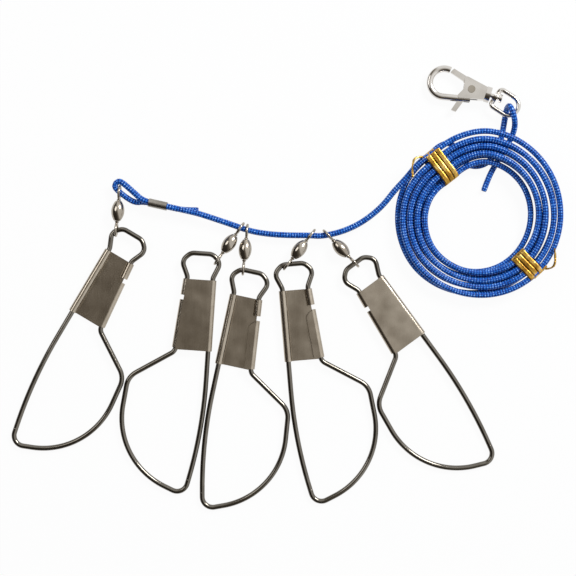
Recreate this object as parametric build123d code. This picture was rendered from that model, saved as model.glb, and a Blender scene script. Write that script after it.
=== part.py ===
# Fish stringer: five wire snaps on barrel swivels, a braided cord wound in a tied coil, a trigger clasp.
# Millimetres, +Z up. It lies on a table at z = 0, seen from above with the coil at the upper right.
from build123d import *
from math import atan2, cos, degrees, pi, radians, sin, sqrt, tan
import os

# Snap wire, in the snap's own plane: u from the spine towards the bow, v along the spine towards the eye
WIRE_D = 2.4
EYE_NECK_V = 1.8
EYE_BULGE_V = 9.2
EYE_TOP_V = 13.1
EYE_BULGE = 3.2
EYE_TOP_INSET = 0.9
EYE_NECK_BEND = 4.0
EYE_BULGE_BEND = 4.0
EYE_TOP_BEND = 4.5
OUTER_NECK_U = 12.1
OUTER_SLOPE = 0.1
FIXED_END_V = -6.5
SPINE_BEND_V = -47.0
SPINE_BEND_R = 220.0
SPINE_BEND_ANGLE = 12.6
FOOT_BEND = 5.0
FOOT_REACH = (11.204, -3.64)
BOW_R = 36.0
BOW_START = -67.8
BOW_END = 6.5
SHOULDER_BEND = 9.0
NECK_SLOPE = 32.5
NECK_BEND = 4.0
NECK_V = -34.0
FREE_END_V = -11.0
FLEX_GAP = 0.06

# Clasp plate of the snap
SHEET = 0.5
SHEET_PLAY = 0.1
PLATE_TOP_V = 0.7
PLATE_FOOT_V = -33.0
SHORT_ROLL_END_V = -7.0
FLAP_TOP_V = -9.3
FLAP_FOOT_V = -32.2
FLAP_REACH = 3.2
FLAP_SLANT = 2.6
FLAP_CORNER = 2.4
SEAM = 0.7

# Barrel swivel
SWIVEL_PITCH = 17.6
RING_R = 3.0
RING_WIRE_D = 1.2
BARREL_L = 9.4
BARREL_D = 6.2
BARREL_END_D = 2.9
BARREL_WALL = 0.5
SHANK_PLAY = 0.06
HEAD_D = 2.8
HEAD_L = 1.0
HEAD_AT = 1.6
RING_NECK_D = 2.3
RING_NECK_L = 1.1
RING_NECK_GAP = 0.2
LINK_GAP = 0.35
LINK_Z = 3.2

# Where each snap lies: plate corner on the table, lean from +Y towards +X, which side is up,
# how far along the eye from its outer neck the swivel hangs, the heading of the swivel, and the share
# of the fan angle by which it leans on when the bows reach further than LAID_BOW_REACH
LAID_BOW_REACH = 38.9
SNAPS = [
    {"place": (-75.6, 16.8), "lean": 30.8, "back_up": False, "link": 26.5, "heading": 85.0, "fan": 3.0},
    {"place": (-25.8, 2.4), "lean": 3.9, "back_up": True, "link": 26.5, "heading": 54.5, "fan": 1.0},
    {"place": (-16.0, -4.2), "lean": 12.2, "back_up": False, "link": 22.0, "heading": 84.4, "fan": 1.0},
    {"place": (7.4, -2.6), "lean": -4.8, "back_up": False, "link": 20.4, "heading": 52.0, "fan": -1.0},
    {"place": (54.2, 4.2), "lean": -36.2, "back_up": True, "link": 18.2, "heading": 134.0, "fan": -3.0},
]

# Middle of the snaps, swivels and clasp, which becomes the origin
ORIGIN = (-0.71, -0.41)

# Cord
CORD_D = 2.8
CORD_STRAIGHT_SHARE = 0.45
FERRULE_WALL = 0.5
FERRULE_PLAY = 0.05
STRAND_PITCH = 3.1

# Coil: turns spiral in on the upper layer and out on the lower one
COIL_CENTRE = (99.8, 34.4)
COIL_OUTER_R = 40.3
COIL_PITCH = 3.5
COIL_LAYER = 3.4
COIL_TURNS = 8
COIL_STEPS = 8
COIL_COUNT = COIL_TURNS * COIL_STEPS
COIL_DROP_STEPS = 4
COIL_START = 129.0
COIL_DENT = 4.5
COIL_NEAR_DENT = 1.6
COIL_REST = 0.9
COIL_LIFT = 4.0
COIL_LIFT_HEADING = 70.0

# Twist ties
TIE_D = 1.6
TIE_GAP = 0.35
TIE_WRAPS = 3
TIE_PITCH = 2.6
TIE_BEND = 2.2

# Trigger clasp, in its own plane: s from the hook towards the D-ring, t to its left
CLASP_PLACE = (105.0, 91.2)
CLASP_HEADING = -18.0
CLASP_RISE = 3.6
COLLAR_D = 7.6
COLLAR_L = 2.4
CASTING_T = 5.0
HOOK_CENTRE = (-21.7, -0.85)
HOOK_R = 6.7
HOOK_BAR_W = 3.0
HOOK_BAR_T = 3.8
HOOK_NOSE = 80.0
PIVOT = (-8.4, -0.2)
GATE_T = 2.0
GATE_PLAY = 0.1
RIVET_D = 2.8
RIVET_PLAY = 0.04
RIVET_HEAD_D = 3.6
RIVET_HEAD_L = 0.3
POST_D = 2.2
POST_HEAD_D = 4.0
POST_HEAD_AT = 5.5
POST_HEAD_L = 1.2
D_RING_WIRE_D = 2.2
D_RING_HALF_W = 4.7
D_RING_L = 12.0
D_RING_TURN = -16.0
D_RING_BOSS_D = 5.0
D_RING_HOLE_PLAY = 0.5
D_RING_AT = 3.6

WIRE_R = WIRE_D / 2
RING_WIRE_R = RING_WIRE_D / 2
CORD_R = CORD_D / 2
TIE_R = TIE_D / 2
SWIVEL_Z = RING_R + RING_WIRE_R


def meet(p, p_dir, q, q_dir):
    """Where the line through p and the line through q cross, in a plane."""
    cross = p_dir[0] * q_dir[1] - p_dir[1] * q_dir[0]
    along = ((q[0] - p[0]) * q_dir[1] - (q[1] - p[1]) * q_dir[0]) / cross
    return (p[0] + along * p_dir[0], p[1] + along * p_dir[1])


def heading(angle):
    return Vector(cos(radians(angle)), sin(radians(angle)), 0)


def round_bar(path, radius):
    """A round bar along a path."""
    return sweep(Plane(origin=path @ 0, z_dir=path % 0) * Circle(radius), path=path)


def outer_u(v):
    """The line that the wire's fixed end and the bow's free end lie on, along the plate's outer edge."""
    return OUTER_NECK_U + OUTER_SLOPE * (EYE_NECK_V - v)


FLEX_POINT = (
    SPINE_BEND_R * (1 - cos(radians(SPINE_BEND_ANGLE))),
    SPINE_BEND_V - SPINE_BEND_R * sin(radians(SPINE_BEND_ANGLE)),
)
FLEX_DIRECTION = (sin(radians(SPINE_BEND_ANGLE)), -cos(radians(SPINE_BEND_ANGLE)))
BOW_CENTRE = (
    FLEX_POINT[0] + FOOT_REACH[0] - BOW_R * cos(radians(BOW_START)),
    FLEX_POINT[1] + FOOT_REACH[1] - BOW_R * sin(radians(BOW_START)),
)
FAN_ANGLE = degrees(atan2(max(BOW_CENTRE[0] + BOW_R - LAID_BOW_REACH, 0), -BOW_CENTRE[1]))


def spine_path():
    """From the fixed end in the plate's short roll, round the eye and down the spine to the flex point."""
    eye = FilletPolyline(
        (outer_u(FIXED_END_V), FIXED_END_V),
        (OUTER_NECK_U, EYE_NECK_V),
        (OUTER_NECK_U + EYE_BULGE, EYE_BULGE_V),
        (OUTER_NECK_U - EYE_TOP_INSET, EYE_TOP_V),
        (EYE_TOP_INSET, EYE_TOP_V),
        (-EYE_BULGE, EYE_BULGE_V),
        (0, EYE_NECK_V),
        (0, SPINE_BEND_V),
        radius=[
            EYE_NECK_BEND,
            EYE_BULGE_BEND,
            EYE_TOP_BEND,
            EYE_TOP_BEND,
            EYE_BULGE_BEND,
            EYE_NECK_BEND,
        ],
    )
    bend = TangentArc((0, SPINE_BEND_V), FLEX_POINT, tangent=(0, -1))
    return Wire(eye.edges() + bend.edges())


def bow_path():
    """From the flex point round the foot, the bow and the shoulder to the free end under the flap."""
    arc = CenterArc(BOW_CENTRE, BOW_R, BOW_START, BOW_END - BOW_START)
    arc_from, arc_to = arc @ 0, arc @ 1
    from_dir, to_dir = arc % 0, arc % 1
    foot = meet(FLEX_POINT, FLEX_DIRECTION, (arc_from.X, arc_from.Y), (from_dir.X, from_dir.Y))
    neck = (outer_u(NECK_V), NECK_V)
    neck_dir = (cos(radians(NECK_SLOPE)), -sin(radians(NECK_SLOPE)))
    shoulder = meet((arc_to.X, arc_to.Y), (to_dir.X, to_dir.Y), neck, neck_dir)
    lower = FilletPolyline(FLEX_POINT, foot, arc_from, radius=[FOOT_BEND])
    upper = FilletPolyline(
        arc_to,
        shoulder,
        neck,
        (outer_u(FREE_END_V), FREE_END_V),
        radius=[SHOULDER_BEND, NECK_BEND],
    )
    return Wire(lower.edges() + arc.edges() + upper.edges())


def snap_spine():
    ball = Location((*FLEX_POINT, 0)) * Sphere(WIRE_R + FLEX_GAP)
    return round_bar(spine_path(), WIRE_R) - ball


def snap_bow():
    ball = Location((*FLEX_POINT, 0)) * Sphere(WIRE_R)
    return round_bar(bow_path(), WIRE_R) + ball


def rolled_sheet(length, open_side):
    """A rolled sheet along +Y from the origin, with its seam on the side open_side, just over the back."""
    inner = WIRE_R + SHEET_PLAY
    profile = Plane.XZ * (Circle(inner + SHEET) - Circle(inner))
    roll = extrude(profile, length, dir=(0, 1, 0))
    seam = Box(2 * inner, 2 * length, SEAM)
    return roll - Location((open_side * 1.2 * inner, length, SEAM / 2 - inner)) * seam


def snap_clasp_plate():
    """One folded sheet: flat back, a full roll on the spine, a short roll on the fixed end and a J-fold."""
    inner = WIRE_R + SHEET_PLAY
    back = Polyline(
        (0, PLATE_TOP_V),
        (outer_u(PLATE_TOP_V), PLATE_TOP_V),
        (outer_u(PLATE_FOOT_V), PLATE_FOOT_V),
        (0, PLATE_FOOT_V),
        close=True,
    )
    plate = Location((0, 0, -inner - SHEET)) * extrude(make_face(back), SHEET)
    plate += Location((0, PLATE_FOOT_V, 0)) * rolled_sheet(PLATE_TOP_V - PLATE_FOOT_V, 1)
    edge_turn = degrees(atan2(OUTER_SLOPE, 1))
    edge = Location((OUTER_NECK_U, EYE_NECK_V, 0), (0, 0, edge_turn))
    along = sqrt(1 + OUTER_SLOPE**2)
    short_from = (SHORT_ROLL_END_V - EYE_NECK_V) * along
    short_to = (PLATE_TOP_V - EYE_NECK_V) * along
    plate += edge * Location((0, short_from, 0)) * rolled_sheet(short_to - short_from, -1)
    flap_from = (FLAP_FOOT_V - EYE_NECK_V) * along
    flap_to = (FLAP_TOP_V - EYE_NECK_V) * along
    fold_face = (Circle(inner + SHEET) - Circle(inner)) & Location((inner, 0)) * Rectangle(
        2 * inner, 4 * inner
    )
    fold = extrude(Plane.XZ * fold_face, flap_to - flap_from, dir=(0, 1, 0))
    plate += edge * Location((0, flap_from, 0)) * fold
    flap = FilletPolyline(
        (0, flap_from),
        (0, flap_to),
        (-FLAP_REACH, flap_to - FLAP_SLANT),
        (-FLAP_REACH, flap_from),
        radius=[0, 0.6, FLAP_CORNER, 0],
        close=True,
    )
    plate += edge * Location((0, 0, inner)) * extrude(make_face(flap.edges()), SHEET)
    return plate


def swivel_barrel():
    """Hollow egg-shaped barrel on the X axis, open at both ends for the shanks."""
    half, end_r = BARREL_L / 2, BARREL_END_D / 2
    hole_r = RING_WIRE_R + SHANK_PLAY
    outside = ThreePointArc((-half, end_r), (0, BARREL_D / 2), (half, end_r))
    hollow_half = half - 1.5 * BARREL_WALL
    inside = ThreePointArc(
        (hollow_half, end_r - BARREL_WALL),
        (0, BARREL_D / 2 - BARREL_WALL),
        (-hollow_half, end_r - BARREL_WALL),
    )
    outer = make_face(outside.edges() + Polyline((half, end_r), (half, 0), (-half, 0), (-half, end_r)).edges())
    inner = make_face(
        inside.edges()
        + Polyline(
            (-hollow_half, end_r - BARREL_WALL),
            (-hollow_half, 0),
            (hollow_half, 0),
            (hollow_half, end_r - BARREL_WALL),
        ).edges()
    )
    shell = revolve(outer, Axis.X) - revolve(inner, Axis.X)
    return shell - Rotation(0, 90, 0) * Cylinder(hole_r, 2 * BARREL_L)


def swivel_eye():
    """Ring, neck, shank and inner head on the X axis, with the ring beyond the barrel's +X end."""
    centre = SWIVEL_PITCH / 2
    ring = Location((centre, 0, 0)) * Rotation(90, 0, 0) * Torus(RING_R, RING_WIRE_R)
    along_x = Rotation(0, 90, 0)
    low = (Align.CENTER, Align.CENTER, Align.MIN)
    shank = Location((HEAD_AT, 0, 0)) * along_x * Cylinder(RING_WIRE_R, centre - RING_R - HEAD_AT, align=low)
    head = Location((HEAD_AT, 0, 0)) * along_x * Cylinder(HEAD_D / 2, HEAD_L, align=low)
    neck_at = BARREL_L / 2 + RING_NECK_GAP
    neck = Location((neck_at, 0, 0)) * along_x * Cone(RING_NECK_D / 2, RING_WIRE_R, RING_NECK_L, align=low)
    return ring + shank + head + neck


def snap_axes(snap, lean, rise):
    """The snap's u and v directions for a lean in degrees and a rise along v."""
    lean = radians(lean)
    level = sqrt(1 - rise**2)
    side = -1 if snap["back_up"] else 1
    u_dir = Vector(side * cos(lean), -side * sin(lean), 0)
    return u_dir, Vector(sin(lean) * level, cos(lean) * level, rise)


def snap_frame(snap):
    """The place of a snap: its foot rests on the table and its eye lies in the swivel's ring."""
    path = spine_path()
    neck_at = (EYE_NECK_V - FIXED_END_V) * sqrt(1 + OUTER_SLOPE**2)
    link_share = (neck_at + snap["link"]) / path.length
    link, tangent = path @ link_share, path % link_share
    foot_v = (Wire(bow_path().edges())).bounding_box().min.Y
    rise = (LINK_Z - WIRE_R) / (link.Y - foot_v)
    x, y = snap["place"]
    u_dir, v_dir = snap_axes(snap, snap["lean"], rise)
    hang = Vector(x, y, LINK_Z - link.Y * rise) + u_dir * link.X + v_dir * link.Y
    u_dir, v_dir = snap_axes(snap, snap["lean"] + snap["fan"] * FAN_ANGLE, rise)
    corner = hang - u_dir * link.X - v_dir * link.Y
    plane = Plane(origin=corner, x_dir=u_dir, z_dir=u_dir.cross(v_dir))
    return plane, hang, u_dir * tangent.X + v_dir * tangent.Y


def swivel_frame(snap):
    """The place of a swivel's barrel: its lower ring hangs on the snap's eye, clear of the wire."""
    _, link, tangent = snap_frame(snap)
    axis = heading(snap["heading"])
    slant = sin(radians(tangent.get_angle(axis)))
    seat = RING_R - (WIRE_R + RING_WIRE_R + LINK_GAP) / slant
    ring = Vector(link.X, link.Y, SWIVEL_Z) + axis * seat
    return Plane(origin=ring + axis * (SWIVEL_PITCH / 2), x_dir=axis, z_dir=(0, 0, 1))


def cord_path(points):
    """Straight runs joined by arcs as large as the runs allow."""
    points = [Vector(*p) for p in points]
    radii = []
    for before, corner, after in zip(points, points[1:], points[2:]):
        run = min((corner - before).length, (after - corner).length)
        turn = (corner - before).get_angle(after - corner)
        radii.append(CORD_STRAIGHT_SHARE * run / tan(radians(turn / 2)))
    return FilletPolyline(*points, radius=radii), radii


def cord_tube(name, points):
    path, radii = cord_path(points)
    tube = round_bar(path, CORD_R)
    share = tube.volume / (pi * CORD_R**2 * path.length)
    print(f"{name}: {path.length:.1f} mm, radii {[round(r, 1) for r in radii]}, volume share {share:.4f}")
    return tube


def biarc(start, start_dir, end, end_dir):
    """Two arcs that leave start along start_dir and reach end along end_dir."""
    gap = end - start
    both = start_dir + end_dir
    square = 2 * (1 - start_dir.dot(end_dir))
    half = gap.dot(both)
    reach = (-half + sqrt(half**2 + square * gap.dot(gap))) / square
    joint = (start + start_dir * reach + end - end_dir * reach) * 0.5
    first = TangentArc(start, joint, tangent=start_dir)
    second = TangentArc(joint, end, tangent=first % 1)
    return first.edges() + second.edges()


def coil_frame():
    """The coil's plane, lifted on the side where the clasp's strands pass under it."""
    lean = atan2(COIL_LIFT, 2 * COIL_OUTER_R)
    normal = heading(COIL_LIFT_HEADING) * -sin(lean) + Vector(0, 0, cos(lean))
    across = Vector(1, 0, 0) - normal * normal.X
    middle = COIL_REST + CORD_R + COIL_LIFT / 2
    return Plane(origin=(*COIL_CENTRE, middle), x_dir=across, z_dir=normal)


def coil_node(step):
    """Point and direction of the winding at a whole number of steps, in the coil's plane."""
    angle = COIL_START - 360 * step / COIL_STEPS
    inward = min(step, COIL_COUNT - step) / COIL_STEPS
    dent = {0: COIL_DENT, COIL_STEPS - 1: COIL_NEAR_DENT}.get(step % COIL_STEPS, 0)
    radius = COIL_OUTER_R - COIL_PITCH * inward - dent
    fallen = min(max((step - COIL_COUNT / 2) / COIL_DROP_STEPS + 0.5, 0), 1)
    point = heading(angle) * radius + Vector(0, 0, COIL_LAYER * fallen_share(fallen))
    drop_length = radius * 2 * pi * COIL_DROP_STEPS / COIL_STEPS
    slope = -COIL_LAYER / drop_length * 6 * fallen * (1 - fallen)
    return point, (heading(angle - 90) + Vector(0, 0, slope)).normalized()


def fallen_share(fallen):
    """Height left of the drop from the upper layer to the lower one, level at both ends."""
    return 1 - fallen**2 * (3 - 2 * fallen)


def coil_path():
    edges = []
    for step in range(COIL_COUNT):
        edges += biarc(*coil_node(step), *coil_node(step + 1))
    return Wire(edges)


def coil_self_gap(path):
    """Least gap between turns of the coil, measured on points along it."""
    count = 20 * COIL_COUNT
    points = [path @ (i / count) for i in range(count + 1)]
    apart = int(count * 2 * pi * COIL_OUTER_R / path.length / 3)
    least = min((points[i] - points[j]).length for i in range(count + 1) for j in range(i + apart, count + 1))
    return least - CORD_D


def coil_end(step):
    """Place and direction of one end of the coil, on the table."""
    frame = coil_frame()
    point, direction = coil_node(step)
    across = frame.x_dir * direction.X + frame.y_dir * direction.Y + frame.z_dir * direction.Z
    return frame.from_local_coords(point), across


def cord_coil():
    path = coil_path()
    print(f"cord_coil: {path.length:.1f} mm, least gap between turns {coil_self_gap(path):.2f} mm")
    return coil_frame().location * round_bar(path, CORD_R)


def twist_tie(step, turns, dent, tail):
    """Wraps of wire round the bundle at a step of the coil, led on from a tail on its upper side."""
    angle = COIL_START - 360 * step / COIL_STEPS
    width = COIL_PITCH * (turns[1] - turns[0])
    middle = COIL_OUTER_R - dent - COIL_PITCH * turns[0] - width / 2
    half_w = width / 2 + CORD_R + TIE_GAP + TIE_R
    half_h = COIL_LAYER / 2 + CORD_R + TIE_GAP + TIE_R
    out, along, up = heading(angle), heading(angle - 90), Vector(0, 0, 1)
    centre = out * middle + up * (COIL_LAYER / 2)
    corners = [(1, 1), (1, -1), (-1, -1), (-1, 1)]
    points = [centre + out * a + along * b + up * c for a, b, c in tail]
    for corner in range(4 * TIE_WRAPS + 1):
        side, level = corners[corner % 4]
        shift = TIE_PITCH * (corner / 4 - TIE_WRAPS / 2)
        points.append(centre + out * (side * half_w) + up * (level * half_h) + along * shift)
    path = FilletPolyline(*points, radius=TIE_BEND)
    return coil_frame().location * round_bar(path, TIE_R)


FERRULE_EAST = (-47.5, 38.2)
FERRULE_WEST = (-56.0, 40.1)
FERRULE_Z = STRAND_PITCH / 2 + CORD_R + FERRULE_PLAY + FERRULE_WALL
UPPER_Z = FERRULE_Z + STRAND_PITCH / 2
LOWER_Z = FERRULE_Z - STRAND_PITCH / 2

END_LOOP = [
    (*FERRULE_EAST, UPPER_Z),
    (-58.6, 40.68, UPPER_Z),
    (-62.8, 44.6, 4.9),
    (-69.15, 50.15, 4.5),
    (-71.0, 49.92, 4.2),
    (-72.15, 48.45, 3.9),
    (-71.92, 46.6, 3.7),
    (-66.6, 42.3, 3.2),
    (-62.4, 40.0, 2.4),
    (-58.6, 40.68, LOWER_Z),
    (*FERRULE_EAST, LOWER_Z),
]
END_TAIL = [(*FERRULE_EAST, LOWER_Z), (-40.0, 36.52, LOWER_Z), (-32.6, 36.6, 1.5)]
LINE = [
    (*FERRULE_EAST, UPPER_Z),
    (-39.9, 36.5, UPPER_Z),
    (-32.3, 34.8, 4.5),
    (-24.7, 32.3, 3.9),
    (-16.6, 29.6, 3.6),
    (-8.1, 26.5, 3.6),
    (1.4, 25.0, 3.6),
    (10.9, 24.5, 3.6),
    (20.4, 24.5, 3.6),
    (25.5, 24.1, 3.6),
    (32.0, 25.3, 3.6),
    (38.0, 27.2, 3.7),
    (44.2, 30.2, 3.9),
    (50.2, 34.4, 4.5),
    (55.6, 39.4, 5.3),
    (60.2, 45.5, 6.6),
    (65.6, 51.2, 8.0),
]
CLASP_LOOP = [
    (87.2, 69.0, 2.3),
    (91.6, 64.2, 1.5),
    (94.0, 58.4, 1.5),
    (100.8, 57.0, 1.5),
    (107.2, 60.6, 1.5),
    (110.6, 67.4, 1.5),
    (112.2, 74.0, 1.6),
    (113.0, 79.2, 1.9),
    (114.2, 85.6, 1.9),
    (114.8, 85.6, 8.2),
    (117.0, 79.6, 7.7),
    (117.6, 74.6, 3.4),
    (115.2, 68.9, 1.7),
    (111.8, 63.0, 1.5),
    (108.2, 57.4, 1.4),
    (105.2, 51.6, 1.5),
    (103.1, 45.6, 1.4),
]


def cord_end_loop():
    return cord_tube("cord_end_loop", END_LOOP)


def cord_end_tail():
    return cord_tube("cord_end_tail", END_TAIL)


def cord_line():
    end, direction = coil_end(0)
    return cord_tube("cord_line", [*LINE, tuple(end - direction * 8), tuple(end)])


def cord_clasp_loop():
    start, direction = coil_end(COIL_COUNT)
    return cord_tube("cord_clasp_loop", [tuple(start), tuple(start + direction * 6), *CLASP_LOOP])


def crimp_ferrule():
    """Oval sleeve crimped over the two strands of the end loop."""
    start = Vector(*FERRULE_EAST, FERRULE_Z)
    end = Vector(*FERRULE_WEST, FERRULE_Z)
    across = Plane(origin=start, z_dir=end - start, x_dir=(0, 0, 1))
    bore_r = CORD_R + FERRULE_PLAY
    outer = SlotCenterToCenter(STRAND_PITCH, 2 * (bore_r + FERRULE_WALL))
    bore = SlotCenterToCenter(STRAND_PITCH, 2 * bore_r)
    return extrude(across * (outer - bore), (end - start).length)


def clasp_frame():
    rise = radians(CLASP_RISE)
    along = heading(CLASP_HEADING) * cos(rise) + Vector(0, 0, sin(rise))
    left = Vector(0, 0, 1).cross(along).normalized()
    return Plane(origin=(*CLASP_PLACE, COLLAR_D / 2), x_dir=along, z_dir=along.cross(left))


def along_s(start, length, radius):
    low = (Align.CENTER, Align.CENTER, Align.MIN)
    return Location((start, 0, 0)) * Rotation(0, 90, 0) * Cylinder(radius, length, align=low)


def clasp_hook_body():
    """Casting with the hook, two cheeks for the gate and a collar for the swivel post."""
    arc = CenterArc(HOOK_CENTRE, HOOK_R, HOOK_NOSE, 282.0 - HOOK_NOSE)
    bar = Line(arc @ 1, (arc @ 1) + (arc % 1) * 13.0)
    path = Wire(arc.edges() + bar.edges())
    start = Plane(origin=path @ 0, z_dir=path % 0, x_dir=Vector(0, 0, 1).cross(path % 0))
    hook = sweep(start * RectangleRounded(HOOK_BAR_W, HOOK_BAR_T, 1.3), path=path)
    outline = FilletPolyline(
        (-13.2, 5.3),
        (-0.4, 2.8),
        (-0.4, -3.0),
        (-14.6, -6.3),
        (-12.0, -1.2),
        radius=[1.2, 0.4, 0.4, 1.0, 3.0],
        close=True,
    )
    casting = Location((0, 0, -CASTING_T / 2)) * extrude(make_face(outline.edges()), CASTING_T)
    collar = along_s(-1.4, COLLAR_L, COLLAR_D / 2)
    slot = Location((-10.2, -1.5, 0)) * Box(12.0, 15.5, GATE_T + 2 * GATE_PLAY)
    rivet_hole = Location((*PIVOT, 0)) * Cylinder(RIVET_D / 2 + RIVET_PLAY, 2 * CASTING_T)
    post_hole = along_s(-2.5, 5.0, POST_D / 2 + RIVET_PLAY)
    return hook + casting + collar - slot - rivet_hole - post_hole


def clasp_trigger_gate():
    """Gate arm that closes the hook, and the thumb lever on the other side of the rivet."""
    arm = Polyline(
        (-21.0, 7.4),
        (-12.4, 5.1),
        (-7.2, 2.2),
        (-8.6, -2.4),
        (-11.4, 0.4),
        (-13.4, 2.6),
        (-21.0, 4.9),
        close=True,
    )
    lever = Polyline(
        (-10.6, -0.6),
        (-6.3, -1.4),
        (-10.4, -7.0),
        (-12.2, -12.4),
        (-14.6, -12.2),
        (-13.2, -7.4),
        close=True,
    )
    hub = Location((*PIVOT, 0)) * Circle(2.5)
    reach = Location((*PIVOT, 0)) * Circle(12.9)
    face = (make_face(arm) & reach) + make_face(lever) + hub
    gate = Location((0, 0, -GATE_T / 2)) * extrude(face, GATE_T)
    return gate - Location((*PIVOT, 0)) * Cylinder(RIVET_D / 2 + RIVET_PLAY, 2 * GATE_T)


def clasp_gate_rivet():
    rivet = Cylinder(RIVET_D / 2, CASTING_T + 2 * RIVET_HEAD_L)
    for side in (-1, 1):
        rivet += Location((0, 0, side * (CASTING_T + RIVET_HEAD_L) / 2)) * Cylinder(RIVET_HEAD_D / 2, RIVET_HEAD_L)
    return Location((*PIVOT, 0)) * rivet


def clasp_gate_spring():
    """Hairpin of thin wire between the gate's hub and the end of its slot."""
    path = FilletPolyline(
        (-4.55, -2.0),
        (-4.55, 1.9),
        (-5.2, 1.9),
        (-5.2, -0.6),
        radius=0.3,
    )
    return round_bar(path, 0.2)


def clasp_swivel_post():
    shaft = along_s(-2.4, POST_HEAD_AT + 3.0, POST_D / 2)
    return shaft + along_s(POST_HEAD_AT, POST_HEAD_L, POST_HEAD_D / 2)


def d_ring_frame():
    clasp = clasp_frame()
    along = clasp.x_dir * cos(radians(D_RING_TURN)) + clasp.y_dir * sin(radians(D_RING_TURN))
    return Plane(origin=clasp.from_local_coords((D_RING_AT, 0, 0)), x_dir=along, z_dir=clasp.z_dir)


def clasp_d_ring():
    """D-ring with a drilled boss on its straight side for the swivel post."""
    round_r = D_RING_HALF_W - 0.1
    path = FilletPolyline(
        (0, -D_RING_HALF_W),
        (D_RING_L, -D_RING_HALF_W),
        (D_RING_L, D_RING_HALF_W),
        (0, D_RING_HALF_W),
        radius=[1.6, round_r, round_r, 1.6],
        close=True,
    )
    ring = round_bar(path, D_RING_WIRE_D / 2)
    boss = Rotation(0, 90, 0) * Cylinder(D_RING_BOSS_D / 2, 2.0)
    hole = Rotation(0, 90, 0) * Cylinder(POST_D / 2 + D_RING_HOLE_PLAY, 4.0)
    return ring + boss - hole


UPPER_TIE_TAIL = [(5.0, -13.5, 4.8), (10.5, -9.0, 4.8)]
LOWER_TIE_STEP = 3.85
LOWER_TIE_TURNS = (0.45, 3.55)
LOWER_TIE_TAIL = [(3.0, -13.5, 4.8), (9.0, -9.0, 4.8)]


def build():
    nodes = {}
    for number, snap in enumerate(SNAPS, 1):
        place = snap_frame(snap)[0].location
        nodes[f"snap_{number}_spine"] = place * snap_spine()
        nodes[f"snap_{number}_bow"] = place * snap_bow()
        nodes[f"snap_{number}_clasp_plate"] = place * snap_clasp_plate()
        barrel = swivel_frame(snap).location
        nodes[f"swivel_{number}_barrel"] = barrel * swivel_barrel()
        nodes[f"swivel_{number}_upper_eye"] = barrel * swivel_eye()
        nodes[f"swivel_{number}_lower_eye"] = barrel * Rotation(0, 0, 180) * swivel_eye()
    nodes["cord_end_loop"] = cord_end_loop()
    nodes["cord_end_tail"] = cord_end_tail()
    nodes["cord_line"] = cord_line()
    nodes["cord_coil"] = cord_coil()
    nodes["cord_clasp_loop"] = cord_clasp_loop()
    nodes["crimp_ferrule"] = crimp_ferrule()
    nodes["upper_twist_tie"] = twist_tie(0, (0, 4), COIL_DENT, UPPER_TIE_TAIL)
    nodes["lower_twist_tie"] = twist_tie(LOWER_TIE_STEP, LOWER_TIE_TURNS, 0, LOWER_TIE_TAIL)
    clasp = clasp_frame().location
    nodes["clasp_hook_body"] = clasp * clasp_hook_body()
    nodes["clasp_trigger_gate"] = clasp * clasp_trigger_gate()
    nodes["clasp_gate_rivet"] = clasp * clasp_gate_rivet()
    nodes["clasp_gate_spring"] = clasp * clasp_gate_spring()
    nodes["clasp_swivel_post"] = clasp * clasp_swivel_post()
    nodes["clasp_d_ring"] = d_ring_frame().location * clasp_d_ring()
    to_origin = Location((-ORIGIN[0], -ORIGIN[1], 0))
    return {name: to_origin * shape for name, shape in nodes.items()}


if __name__ == "__main__":
    os.makedirs("parts", exist_ok=True)
    for name, shape in build().items():
        export_step(shape, f"parts/{name}.step")
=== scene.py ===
import bpy
import random
from math import atan2, cos, pi, radians, sin
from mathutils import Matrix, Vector


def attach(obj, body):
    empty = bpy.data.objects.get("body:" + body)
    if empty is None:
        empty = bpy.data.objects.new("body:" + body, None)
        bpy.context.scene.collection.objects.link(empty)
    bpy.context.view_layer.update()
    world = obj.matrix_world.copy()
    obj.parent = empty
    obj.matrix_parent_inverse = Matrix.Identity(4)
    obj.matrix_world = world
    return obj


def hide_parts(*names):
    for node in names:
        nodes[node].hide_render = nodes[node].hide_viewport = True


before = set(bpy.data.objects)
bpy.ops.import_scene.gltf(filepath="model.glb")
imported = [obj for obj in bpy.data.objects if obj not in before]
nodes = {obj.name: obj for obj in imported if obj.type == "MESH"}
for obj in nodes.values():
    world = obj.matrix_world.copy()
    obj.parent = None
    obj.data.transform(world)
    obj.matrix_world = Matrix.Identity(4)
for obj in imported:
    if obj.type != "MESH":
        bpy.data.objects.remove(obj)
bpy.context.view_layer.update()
SNAPS = range(1, 6)

# Values of the CAD source, in millimetres and degrees, before the shift to the origin
ORIGIN = Vector((-0.71, -0.41, 0.0))
CORD_D = 2.8
COIL_CENTRE = (99.8, 34.4)
COIL_OUTER_R = 40.3
COIL_PITCH = 3.5
COIL_LAYER = 3.4
COIL_TURNS = 8
COIL_START = 129.0
COIL_DENT = 4.5
COIL_NEAR_DENT = 1.6
COIL_REST = 0.9
COIL_LIFT = 4.0
COIL_LIFT_HEADING = 70.0
SNAP_LEAN = (30.8, 3.9, 12.2, -4.8, -36.2)


def metres(point):
    return (Vector(point) - ORIGIN) * 0.001


def heading(angle):
    return Vector((cos(radians(angle)), sin(radians(angle)), 0.0))


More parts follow.
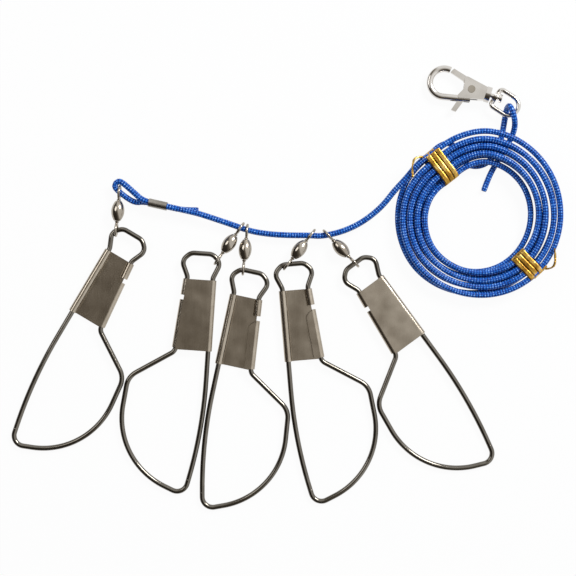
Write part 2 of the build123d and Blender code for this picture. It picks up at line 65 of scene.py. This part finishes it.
# Camera straight above, with the photo's frame on the table
IMAGE_PIXELS = 576
MM_PER_PIXEL = 0.475
IMAGE_MIDDLE = (9.975, -0.475)
OBJECT_MIDDLE_Z = 3.0
camera_data = bpy.data.cameras.new("camera")
camera_data.lens = 85.0
camera_data.sensor_width = 36.0
camera = bpy.data.objects.new("camera", camera_data)
middle = metres((*IMAGE_MIDDLE, OBJECT_MIDDLE_Z))
frame_width = IMAGE_PIXELS * MM_PER_PIXEL * 0.001
distance = frame_width * camera_data.lens / camera_data.sensor_width
camera.location = (middle.x, middle.y, middle.z + distance)
bpy.context.collection.objects.link(camera)
bpy.context.scene.camera = camera


# Materials
class Tree:
    """A node tree, with short calls to add and join nodes."""

    def __init__(self, tree):
        self.tree = tree
        self.tree.nodes.clear()

    def add(self, kind, **values):
        node = self.tree.nodes.new(kind)
        for key, value in values.items():
            if key in node.inputs:
                node.inputs[key].default_value = value
            else:
                setattr(node, key, value)
        return node

    def join(self, source, out, target, into):
        self.tree.links.new(source.outputs[out], target.inputs[into])

    def ramp(self, source, out, stops):
        ramp = self.add("ShaderNodeValToRGB")
        while len(ramp.color_ramp.elements) < len(stops):
            ramp.color_ramp.elements.new(0.5)
        for element, (place, colour) in zip(ramp.color_ramp.elements, stops):
            element.position = place
            element.color = (*colour, 1.0)
        self.join(source, out, ramp, "Fac")
        return ramp

    def scaled(self, source, out, factor, added=None):
        """A value times a factor, plus the value of another node."""
        node = self.add("ShaderNodeMath", operation="MULTIPLY" if added is None else "MULTIPLY_ADD")
        self.join(source, out, node, 0)
        node.inputs[1].default_value = factor
        if added is not None:
            self.join(added, "Value", node, 2)
        return node

    def either(self, first, first_out, second, second_out):
        """The larger of two values."""
        node = self.add("ShaderNodeMath", operation="MAXIMUM")
        self.join(first, first_out, node, 0)
        self.join(second, second_out, node, 1)
        return node

    def mix(self, factor, out, plain, other):
        """One shader, or the other where the factor is 1."""
        node = self.add("ShaderNodeMixShader")
        self.join(factor, out, node, 0)
        self.join(plain, 0, node, 1)
        self.join(other, 0, node, 2)
        return node


class Material(Tree):
    """A new material with a Principled shader."""

    def __init__(self, name):
        self.material = bpy.data.materials.new(name)
        self.material.use_nodes = True
        super().__init__(self.material.node_tree)
        self.output = self.add("ShaderNodeOutputMaterial")
        self.shader = self.add("ShaderNodeBsdfPrincipled")
        self.join(self.shader, "BSDF", self.output, "Surface")

    def noise(self, scale, detail, roughness=0.55, stretch=(1.0, 1.0, 1.0), turn=0.0):
        place = self.add("ShaderNodeTexCoord")
        mapping = self.add("ShaderNodeMapping", Scale=stretch, Rotation=(0.0, 0.0, radians(turn)))
        self.join(place, "Object", mapping, "Vector")
        noise = self.add("ShaderNodeTexNoise", Scale=scale, Detail=detail, Roughness=roughness)
        self.join(mapping, "Vector", noise, "Vector")
        return noise

    def gloss(self, texture, least, most):
        """Roughness that follows a texture between two values."""
        spread = self.add("ShaderNodeMapRange")
        spread.inputs["To Min"].default_value = least
        spread.inputs["To Max"].default_value = most
        self.join(texture, "Fac", spread, "Value")
        self.join(spread, "Result", self.shader, "Roughness")

    def bump(self, texture, strength, depth):
        bump = self.add("ShaderNodeBump", Strength=strength, Distance=depth)
        self.join(texture, "Fac", bump, "Height")
        self.join(bump, "Normal", self.shader, "Normal")
        return bump


PATCH_SCALE = 140.0
MARK_DEPTH = 0.00005
SWELL_SCALE = 70.0
SWELL_DEPTH = 0.0012


def metal(name, dark, light, rough, scale=900.0, bump=0.15, swell=0.0, **brush):
    """Bare or plated metal: colour and gloss vary a little, with fine drawn marks."""
    made = Material(name)
    marks = made.noise(scale, 4.0, **brush)
    patches = made.noise(PATCH_SCALE, 2.0)
    colour = made.ramp(patches, "Fac", [(0.3, dark), (0.7, light)])
    made.join(colour, "Color", made.shader, "Base Color")
    made.shader.inputs["Metallic"].default_value = 1.0
    made.gloss(marks, *rough)
    fine = made.bump(marks, bump, MARK_DEPTH)
    if swell > 0:
        uneven = made.add("ShaderNodeBump", Strength=swell, Distance=SWELL_DEPTH)
        made.join(made.noise(SWELL_SCALE, 1.0, roughness=0.5), "Fac", uneven, "Height")
        made.join(uneven, "Normal", fine, "Normal")
    return made.material


def plate_metal(lean):
    """Brushed sheet, a little uneven, with the marks along the plate."""
    return metal(
        f"plate_steel_{lean:.0f}",
        (0.37, 0.32, 0.255),
        (0.47, 0.415, 0.34),
        (0.16, 0.28),
        bump=0.06,
        swell=0.35,
        stretch=(3.0, 0.06, 1.0),
        turn=lean,
    )


def cord_material():
    """Braided nylon, blue, with painted shade between the strands, painted highlights on their
    crowns and painted glints in the pale flecks.
    """
    made = Material("blue_braid")
    height = made.add("ShaderNodeAttribute", attribute_name="braid")
    fibre_bump_and_glint = made.noise(1300.0, 2.0)
    patch = made.noise(220.0, 3.0)
    # The crossing height, the fibre noise and random patches add up to a level that the ramp turns
    # into colour
    crown = made.scaled(height, "Fac", 0.6)
    painted_crown_and_glint = made.scaled(fibre_bump_and_glint, "Fac", 0.45, crown)
    painted_shade_and_highlight = made.scaled(patch, "Fac", 0.2, painted_crown_and_glint)
    # Painted shade and painted highlights: low levels are dark navy between the strands, high levels
    # near-white on the crowns and in the glints
    colour = made.ramp(
        painted_shade_and_highlight,
        "Value",
        [
            (0.36, (0.001, 0.005, 0.045)),
            (0.52, (0.002, 0.032, 0.22)),
            (0.68, (0.006, 0.115, 0.55)),
            (0.79, (0.05, 0.27, 0.82)),
            (0.87, (0.62, 0.80, 0.98)),
        ],
    )
    made.join(colour, "Color", made.shader, "Base Color")
    made.shader.inputs["Roughness"].default_value = 0.34
    made.shader.inputs["Specular IOR Level"].default_value = 0.25
    made.bump(fibre_bump_and_glint, 0.35, 0.0001)
    return made.material


def foil_material():
    """Creased gold foil."""
    made = Material("gold_foil")
    creases = made.noise(700.0, 4.0)
    patches = made.noise(260.0, 2.0)
    colour = made.ramp(
        patches,
        "Fac",
        [
            (0.30, (0.26, 0.12, 0.018)),
            (0.50, (0.58, 0.33, 0.055)),
            (0.70, (0.86, 0.60, 0.20)),
        ],
    )
    made.join(colour, "Color", made.shader, "Base Color")
    made.shader.inputs["Metallic"].default_value = 1.0
    made.gloss(creases, 0.18, 0.42)
    made.bump(creases, 0.5, 0.0002)
    return made.material


def finish_with(node, material):
    slots = nodes[node].data.materials
    if len(slots) == 0:
        slots.append(material)
    for i in range(len(slots)):
        slots[i] = material


steel = metal(
    "spring_wire_steel",
    (0.14, 0.128, 0.108),
    (0.19, 0.175, 0.15),
    (0.11, 0.15),
    bump=0.0,
)
swivel_metal = metal(
    "swivel_nickel_plate",
    (0.34, 0.30, 0.25),
    (0.45, 0.41, 0.35),
    (0.12, 0.2),
    scale=700.0,
    bump=0.03,
)
clasp_metal = metal(
    "clasp_nickel_plate",
    (0.62, 0.59, 0.55),
    (0.74, 0.71, 0.67),
    (0.07, 0.13),
    scale=500.0,
    bump=0.02,
)
ferrule_metal = metal(
    "ferrule_aluminium",
    (0.25, 0.23, 0.20),
    (0.36, 0.335, 0.30),
    (0.24, 0.40),
    scale=600.0,
    bump=0.2,
)
for number, lean in zip(SNAPS, SNAP_LEAN):
    finish_with(f"snap_{number}_spine", steel)
    finish_with(f"snap_{number}_bow", steel)
    finish_with(f"snap_{number}_clasp_plate", plate_metal(lean))
    for piece in ("barrel", "upper_eye", "lower_eye"):
        finish_with(f"swivel_{number}_{piece}", swivel_metal)
for piece in ("hook_body", "trigger_gate", "gate_spring", "swivel_post", "d_ring"):
    finish_with(f"clasp_{piece}", clasp_metal)
finish_with("clasp_gate_rivet", swivel_metal)
finish_with("crimp_ferrule", ferrule_metal)


# Lines and strips
def smooth_line(name, places, resolution):
    """Points of the smooth curve that control points in millimetres draw, in metres."""
    curve = bpy.data.curves.new(name, "CURVE")
    curve.dimensions = "3D"
    curve.resolution_u = resolution
    spline = curve.splines.new("NURBS")
    spline.points.add(len(places) - 1)
    for point, place in zip(spline.points, places):
        point.co = (*metres(place), 1.0)
    spline.order_u = 3
    spline.use_endpoint_u = True
    holder = bpy.data.objects.new(name, curve)
    bpy.context.collection.objects.link(holder)
    bpy.context.view_layer.update()
    mesh = bpy.data.meshes.new_from_object(holder)
    line = [v.co.copy() for v in mesh.vertices]
    bpy.data.objects.remove(holder)
    bpy.data.curves.remove(curve)
    bpy.data.meshes.remove(mesh)
    return line


def evenly(points, step):
    """Points at a steady distance along a fine line, and the line's length."""
    lengths = [0.0]
    for a, b in zip(points, points[1:]):
        lengths.append(lengths[-1] + (b - a).length)
    wanted = max(2, int(lengths[-1] / step))
    spread, at = [], 0
    for i in range(wanted + 1):
        along = lengths[-1] * i / wanted
        while at < len(points) - 2 and lengths[at + 1] < along:
            at += 1
        part = (along - lengths[at]) / max(lengths[at + 1] - lengths[at], 1e-12)
        spread.append(points[at].lerp(points[at + 1], min(part, 1.0)))
    return spread, lengths[-1]


def frames_along(points):
    """Two directions across the line at each point, carried along without twist."""
    tangents = []
    for i in range(len(points)):
        tangents.append((points[min(i + 1, len(points) - 1)] - points[max(i - 1, 0)]).normalized())
    side = tangents[0].orthogonal().normalized()
    frames = []
    for tangent in tangents:
        side = (side - tangent * side.dot(tangent)).normalized()
        frames.append((side, tangent.cross(side)))
    return frames


def skin(name, verts, sides, material):
    """A closed piece over rings of so many points, with both ends capped."""
    faces = []
    for start in range(0, len(verts) - sides, sides):
        for k in range(sides):
            a, b = start + k, start + (k + 1) % sides
            faces.append((a, b, b + sides, a + sides))
    faces.append(tuple(range(sides - 1, -1, -1)))
    faces.append(tuple(range(len(verts) - sides, len(verts))))
    mesh = bpy.data.meshes.new(name)
    mesh.from_pydata([tuple(v) for v in verts], [], faces)
    mesh.polygons.foreach_set("use_smooth", [True] * len(faces))
    mesh.materials.append(material)
    made = bpy.data.objects.new(name, mesh)
    bpy.context.collection.objects.link(made)
    return made


# Cord: one length from the cut end of the first loop to the cut end inside the coil
FERRULE_EAST = (-47.5, 38.2)
UPPER_Z = 5.05
LOWER_Z = 1.95
END_TAIL = [(-32.6, 36.6, 1.5), (-40.0, 36.52, LOWER_Z), (*FERRULE_EAST, LOWER_Z)]
END_LOOP = [
    (-58.6, 40.68, LOWER_Z),
    (-62.4, 40.0, 2.4),
    (-66.6, 42.3, 3.2),
    (-71.92, 46.6, 3.7),
    (-72.15, 48.45, 3.9),
    (-71.0, 49.92, 4.2),
    (-69.15, 50.15, 4.5),
    (-62.8, 44.6, 4.9),
    (-58.6, 40.68, UPPER_Z),
]
LINE = [
    (*FERRULE_EAST, UPPER_Z),
    (-39.9, 36.5, UPPER_Z),
    (-32.3, 34.8, 4.5),
    (-24.7, 32.3, 3.9),
    (-16.6, 29.6, 3.6),
    (-8.1, 26.5, 3.6),
    (1.4, 25.0, 3.6),
    (10.9, 24.5, 3.6),
    (20.4, 24.5, 3.6),
    (25.5, 24.1, 3.6),
    (32.0, 25.3, 3.6),
    (38.0, 27.2, 3.7),
    (44.2, 30.2, 3.9),
    (50.2, 34.4, 4.5),
    (55.6, 39.4, 5.3),
    (60.2, 45.5, 6.6),
    (65.6, 51.2, 8.0),
]
CLASP_LOOP = [
    (87.2, 69.0, 2.3),
    (91.6, 64.2, 1.5),
    (94.0, 58.4, 1.5),
    (100.8, 57.0, 1.5),
    (107.2, 60.6, 1.5),
    (110.6, 67.4, 1.5),
    (112.2, 74.0, 1.6),
    (113.0, 79.2, 1.9),
    (114.2, 85.6, 1.9),
    (114.8, 85.6, 8.2),
    (117.0, 79.6, 7.7),
    (117.6, 74.6, 3.4),
    (115.2, 68.9, 1.7),
    (111.8, 63.0, 1.5),
    (108.2, 57.4, 1.4),
    (105.2, 51.6, 1.5),
    (103.1, 45.6, 1.4),
]
CONTROL_PER_TURN = 16
# The control points lie outside the curve that they draw
CONTROL_SPREAD = 1.012
DENT_HALF = 45
LOWER_INSET = 1.7
LEAD_IN = 7
LEAD_OUT = 6
coil_lean = atan2(COIL_LIFT, 2 * COIL_OUTER_R)
coil_up = heading(COIL_LIFT_HEADING) * -sin(coil_lean) + Vector((0.0, 0.0, cos(coil_lean)))
coil_x = (Vector((1.0, 0.0, 0.0)) - coil_up * coil_up.x).normalized()
coil_y = coil_up.cross(coil_x)
coil_middle = Vector((*COIL_CENTRE, COIL_REST + CORD_D / 2 + COIL_LIFT / 2))
dice = random.Random(11)
WAVES = [(dice.uniform(0.3, 1.0), dice.uniform(0, 2 * pi)) for _ in range(COIL_TURNS + 1)]


def in_coil(across):
    """A place in the coil's plane, in the frame of the table."""
    return coil_middle + coil_x * across.x + coil_y * across.y + coil_up * across.z


def coil_dent(angle):
    """How far the bundle is drawn in at this angle, most at the first tie."""
    off = (angle - COIL_START + 180) % 360 - 180
    if abs(off) < DENT_HALF:
        near = COIL_NEAR_DENT * max(off, 0) / DENT_HALF
        return near + (COIL_DENT - near) * cos(radians(2 * off)) ** 2
    if DENT_HALF <= off < 2 * DENT_HALF:
        return COIL_NEAR_DENT * cos(radians(2 * off - 90)) ** 2
    return 0.0


def coil_point(turns):
    """Centre of the winding after so many turns, in the coil's plane."""
    angle = COIL_START - 360 * turns
    inward = min(turns, COIL_TURNS - turns)
    size, start = WAVES[int(turns)]
    spread = 1 - cos(2 * pi * turns)
    wave = size * spread * 0.5 * sin(radians(angle) * 2 + start)
    radius = (COIL_OUTER_R - COIL_PITCH * inward - coil_dent(angle) + wave) * CONTROL_SPREAD
    # Half way through, the winding falls from the upper layer to the lower one
    fallen = min(max((turns - COIL_TURNS / 2) * 2 + 0.5, 0), 1)
    fallen = fallen**2 * (3 - 2 * fallen)
    to_end = min((COIL_TURNS - turns) * 2, 1)
    radius -= LOWER_INSET * fallen * to_end
    lift = 0.5 * abs(wave) * (1 - fallen)
    return heading(angle) * radius + Vector((0, 0, COIL_LAYER * (1 - fallen) + lift))


control_count = COIL_TURNS * CONTROL_PER_TURN
coil = [in_coil(coil_point(i / CONTROL_PER_TURN)) for i in range(control_count + 1)]
lead_in = coil[0] - (coil[1] - coil[0]).normalized() * LEAD_IN
lead_out = coil[-1] + (coil[-1] - coil[-2]).normalized() * LEAD_OUT
route = [*END_TAIL, *END_LOOP, *LINE, lead_in, *coil, lead_out, *CLASP_LOOP]

# Braid: strands cross over each other, and the cord swells a little at each crossing
BRAID_PITCH = 0.0026
BRAID_STRANDS = 4
BRAID_DEPTH = 0.07
BRAID_RISE = 1.6 * BRAID_DEPTH
BRAID_STEP = 0.00042
CORD_RESOLUTION = 10
SIDES = 20
path, cord_length = evenly(smooth_line("cord_route", route, CORD_RESOLUTION), BRAID_STEP)
step = cord_length / (len(path) - 1)
cord_radius = CORD_D * 0.0005
verts, crowns = [], []
for i, (place, (side, over)) in enumerate(zip(path, frames_along(path))):
    turn = 2 * pi * i * step / BRAID_PITCH
    # The last rings at each cut end are a little narrower
    from_end = min(i, len(path) - 1 - i)
    taper = 0.8 + 0.1 * min(from_end, 2)
    for k in range(SIDES):
        angle = 2 * pi * k / SIDES
        crown = 0.5 + 0.5 * sin(BRAID_STRANDS * angle + turn) * sin(BRAID_STRANDS * angle - turn)
        swell = cord_radius * (1 - BRAID_DEPTH + BRAID_RISE * crown) * taper
        verts.append(place + side * (swell * cos(angle)) + over * (swell * sin(angle)))
        crowns.append(crown)
cord = skin("braided_cord", verts, SIDES, cord_material())
# The crossing height, which the cord's material turns into painted shade between the strands and
# painted highlights on their crowns
braid = cord.data.attributes.new("braid", "FLOAT", "POINT")
braid.data.foreach_set("value", crowns)
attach(cord, "cord")
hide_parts("cord_end_loop", "cord_end_tail", "cord_line", "cord_coil", "cord_clasp_loop")


# Twist ties: foil ribbon wound round the bundle, with a twisted tail
TIE_WRAPS = 3
TIE_PITCH = 2.6
TIE_GAP = 0.2
WRAP_STEPS = 48
WRAP_SQUARENESS = 0.42
WRAP_LOOSE = 0.12
LOWER_TIE_ANGLE = COIL_START - 360 * 3.85 / 8
RIBBON_W = 2.5
RIBBON_T = 0.35
RIBBON_RIM = ((-1, -1), (-0.5, -1), (0.5, -1), (1, -1), (1, 1), (0.5, 1), (-0.5, 1), (-1, 1))
RIBBON_BULGE = 1.25
RIBBON_CREASES = ((0.06, 1.7), (0.05, 0.61))
TAIL_W = 0.95
TAIL_T = 0.6
TAIL_RESOLUTION = 8
TAIL_STEP = 0.00035
TAIL_TWIST = 0.12
foil = foil_material()


def ribbon(name, points, wide, thick):
    """A flat strip along points, with its width along each point's second vector."""
    verts = []
    for i, (place, across) in enumerate(points):
        ahead = points[min(i + 1, len(points) - 1)][0] - points[max(i - 1, 0)][0]
        across = (across - ahead * across.dot(ahead) / max(ahead.length_squared, 1e-12)).normalized()
        out = ahead.normalized().cross(across)
        crease = sum(size * sin(i * pace) for size, pace in RIBBON_CREASES)
        for w, t in RIBBON_RIM:
            bulge = RIBBON_BULGE if abs(w) < 1 and t > 0 else 1.0
            lift = bulge * t * thick / 2 + crease
            verts.append(metres(place + across * (w * wide / 2) + out * lift))
    return skin(name, verts, len(RIBBON_RIM), foil)


def squared(value):
    """A sine or cosine pushed outwards, so that a circle becomes a rounded square."""
    return abs(value) ** WRAP_SQUARENESS * (1 if value >= 0 else -1)


def tie(name, node, angle, turns, dent, tail):
    """One foil tie: wraps like those of the CAD tie, close on the cord."""
    width = COIL_PITCH * (turns[1] - turns[0])
    tie_middle = COIL_OUTER_R - dent - COIL_PITCH * turns[0] - width / 2
    half_w = width / 2 + CORD_D / 2 + TIE_GAP + RIBBON_T / 2
    half_h = COIL_LAYER / 2 + CORD_D / 2 + TIE_GAP + RIBBON_T / 2
    out, along = heading(angle), heading(angle - 90)
    centre = out * tie_middle + Vector((0, 0, COIL_LAYER / 2))
    world_along = (in_coil(along) - coil_middle).normalized()
    points = []
    for i in range(TIE_WRAPS * WRAP_STEPS + 1):
        turn = 2 * pi * i / WRAP_STEPS + 0.25 * pi
        loose = WRAP_LOOSE * sin(i * 0.37)
        outward = out * (squared(sin(turn)) * (half_w + loose))
        upward = Vector((0, 0, squared(cos(turn)) * (half_h + 0.5 * loose)))
        shift = along * (TIE_PITCH * (i / WRAP_STEPS - TIE_WRAPS / 2))
        points.append((in_coil(centre + outward + upward + shift), world_along))
    wraps = ribbon(name, points, RIBBON_W, RIBBON_T)
    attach(wraps, "cord")
    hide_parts(node)
    places = [in_coil(centre + out * a + along * b + Vector((0, 0, c))) for a, b, c in tail]
    spots, _ = evenly(smooth_line(f"{name}_tail_line", places, TAIL_RESOLUTION), TAIL_STEP)
    points = []
    for i, (spot, (side, over)) in enumerate(zip(spots, frames_along(spots))):
        twist = i * TAIL_TWIST
        points.append((spot * 1000 + ORIGIN, side * cos(twist) + over * sin(twist)))
    strip = ribbon(f"{name}_tail_1", points, TAIL_W, TAIL_T)
    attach(strip, "cord")


tie(
    "upper_tie_foil",
    "upper_twist_tie",
    COIL_START,
    (0, 4),
    COIL_DENT,
    [(8.6, -3.6, 3.4), (10.2, -5.0, 4.4), (10.6, -8.0, 4.8), (7.6, -11.0, 4.7), (4.2, -13.4, 4.6)],
)
tie(
    "lower_tie_foil",
    "lower_twist_tie",
    LOWER_TIE_ANGLE,
    (0.45, 3.55),
    0.0,
    [(7.0, -3.6, 3.4), (8.6, -5.0, 4.4), (8.8, -8.0, 4.8), (6.0, -11.0, 4.7), (3.2, -13.4, 4.6)],
)


# Floor: lit by the lamps, and nearly white to the camera and in reflections
FLOOR_Z = -0.0004
FLOOR_CORNERS = [(-2, -2), (2, -2), (2, 2), (-2, 2)]
FLOOR_GLOW = 0.95
floor_mesh = bpy.data.meshes.new("floor")
floor_mesh.from_pydata([(x, y, FLOOR_Z) for x, y in FLOOR_CORNERS], [], [(0, 1, 2, 3)])
floor = bpy.data.objects.new("floor", floor_mesh)
bpy.context.collection.objects.link(floor)
white = Material("white_floor")
white.shader.inputs["Base Color"].default_value = (0.86, 0.86, 0.86, 1.0)
white.shader.inputs["Roughness"].default_value = 0.8
glow = white.add("ShaderNodeEmission", Strength=1.0)
rays = white.add("ShaderNodeLightPath")
camera_or_glossy = white.either(rays, "Is Camera Ray", rays, "Is Glossy Ray")
any_view = white.either(camera_or_glossy, "Value", rays, "Is Transmission Ray")
share = white.scaled(any_view, "Value", FLOOR_GLOW)
both = white.mix(share, "Value", white.shader, glow)
white.join(both, 0, white.output, "Surface")
floor_mesh.materials.append(white.material)

# World: soft light, and a room that metal sees shade off from white to a dark side
world = bpy.data.worlds.new("studio")
bpy.context.scene.world = world
world.use_nodes = True
studio = Tree(world.node_tree)
soft = studio.add("ShaderNodeBackground", Color=(0.92, 0.95, 1.0, 1.0), Strength=0.32)
plain = studio.add("ShaderNodeBackground", Strength=1.0)
toward = studio.add("ShaderNodeTexCoord")
across = studio.add("ShaderNodeVectorMath", operation="DOT_PRODUCT")
across.inputs[1].default_value = (0.80, 0.45, 0.10)
studio.join(toward, "Generated", across, 0)
spread = studio.add("ShaderNodeMapRange")
spread.inputs["From Min"].default_value = -0.35
spread.inputs["From Max"].default_value = 0.35
studio.join(across, "Value", spread, "Value")
room = studio.ramp(
    spread,
    "Result",
    [
        (0.00, (0.05, 0.042, 0.035)),
        (0.50, (0.20, 0.178, 0.15)),
        (0.64, (0.34, 0.315, 0.28)),
        (0.76, (0.80, 0.79, 0.77)),
        (0.85, (1.0, 1.0, 1.0)),
    ],
)
shaded = studio.add("ShaderNodeBackground")
studio.join(room, "Color", shaded, "Color")
seen = studio.add("ShaderNodeLightPath")
views = studio.either(seen, "Is Camera Ray", seen, "Is Transmission Ray")
mirror = studio.mix(seen, "Is Glossy Ray", soft, shaded)
pick = studio.mix(views, "Value", mirror, plain)
world_out = studio.add("ShaderNodeOutputWorld")
studio.join(pick, 0, world_out, "Surface")


def lamp(name, place, size, power):
    """A square lamp that looks at the middle of the table."""
    data = bpy.data.lights.new(name, "AREA")
    data.size = size
    data.energy = power
    made = bpy.data.objects.new(name, data)
    made.location = place
    aim = Vector((0.0, 0.0, 0.0)) - Vector(place)
    made.rotation_euler = aim.to_track_quat("-Z", "Y").to_euler()
    bpy.context.collection.objects.link(made)


lamp("key", (0.60, 0.55, 0.75), 0.35, 9.0)
lamp("fill", (-0.6, 0.35, 0.8), 0.5, 2.0)
bpy.context.scene.view_settings.view_transform = "Standard"
